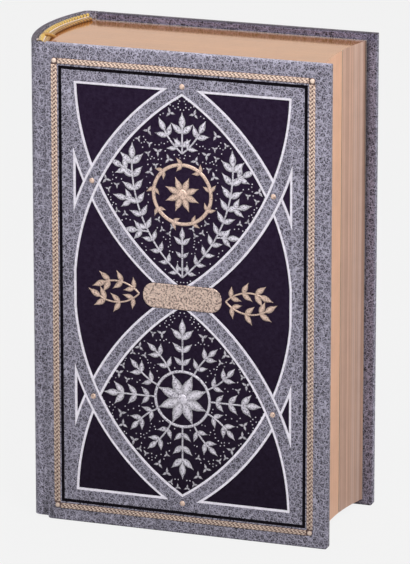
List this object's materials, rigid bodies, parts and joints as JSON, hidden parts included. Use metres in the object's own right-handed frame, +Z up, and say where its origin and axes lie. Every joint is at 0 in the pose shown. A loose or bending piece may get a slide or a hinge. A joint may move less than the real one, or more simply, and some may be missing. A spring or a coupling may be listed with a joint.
{
  "type": "hardback book",
  "caption": "Hardback book in tooled leather over boards, with gilt page edges, a rounded spine, sewn end bands, silver strapwork panels and a gold braid border on the front cover.",
  "frame": {"origin": "under the middle of the closed book, on the surface that the tails of its boards stand on", "axes": "+Z up along the book's height, +X from the spine to the fore-edge, +Y from the front cover to the back cover"},
  "size_m": [0.1372, 0.065, 0.207],
  "materials": {
    "gilt_pages": "page edges gilt in rose gold, paper within",
    "endpaper": "smooth uncoated paper",
    "lining_cloth": "open weave cotton",
    "kraft_paper": "kraft paper",
    "greyboard": "matt dense board",
    "grey_leather": "grained leather with a pale crackle",
    "band_thread": "silk thread",
    "dark_foil": "dark pigment on leather",
    "silver_foil": "silver stamping foil",
    "gold_foil": "gold stamping foil",
    "black_foil": "black pigment foil"
  },
  "bodies": {
    "book_block": {"page_block": "gilt_pages", "front_flyleaf": "endpaper", "back_flyleaf": "endpaper", "spine_lining": "lining_cloth", "hollow_tube": "kraft_paper", "spine_inlay": "greyboard", "spine_leather": "grey_leather", "head_band": "band_thread", "tail_band": "band_thread"},
    "front_cover": {"front_board": "greyboard", "front_cover_leather": "grey_leather", "front_pastedown": "endpaper", "front_panel_foil": "dark_foil", "front_silver_lines": "silver_foil", "front_silver_ornament": "silver_foil", "front_gold_ornament": "gold_foil", "front_gold_dots": "gold_foil", "front_braid": "gold_foil", "front_black_fillet": "black_foil"},
    "back_cover": {"back_board": "greyboard", "back_cover_leather": "grey_leather", "back_pastedown": "endpaper"}
  },
  "joints": [
    {"name": "front_cover_hinge", "type": "hinge", "parent": "book_block", "child": "front_cover", "pos_m": [-0.0564, -0.0325, 0.1035], "axis": [0, 0, -1], "range_deg": [0, 180]},
    {"name": "back_cover_hinge", "type": "hinge", "parent": "book_block", "child": "back_cover", "pos_m": [-0.0564, 0.0325, 0.1035], "axis": [0, 0, 1], "range_deg": [0, 180]}
  ]
}
